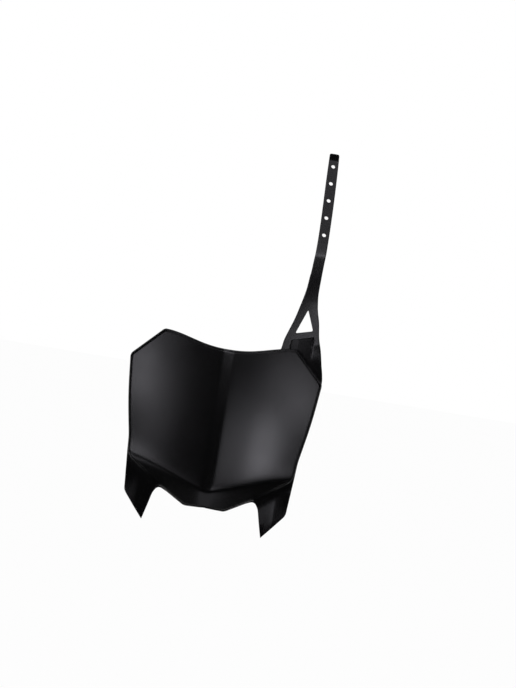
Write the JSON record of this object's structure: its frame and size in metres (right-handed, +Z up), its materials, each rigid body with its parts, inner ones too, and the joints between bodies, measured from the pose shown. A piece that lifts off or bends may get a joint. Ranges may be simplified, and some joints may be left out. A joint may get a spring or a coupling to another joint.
{
  "type": "motorbike front number board",
  "caption": "One-piece moulded front number plate with a V-shaped raised face, folded chin, short legs and a holed fixing strap.",
  "frame": {"origin": "centre of the upright bore in the lower tab behind the chin", "axes": "-Y towards the front, which the raised face looks at; +Z up, along the plate's height and the strap; +X towards the strap's side"},
  "size_m": [0.2418, 0.1247, 0.4907],
  "materials": {
    "plastic": "satin black, moulded"
  },
  "bodies": {
    "root": {"number_board": "plastic"}
  },
  "joints": []
}
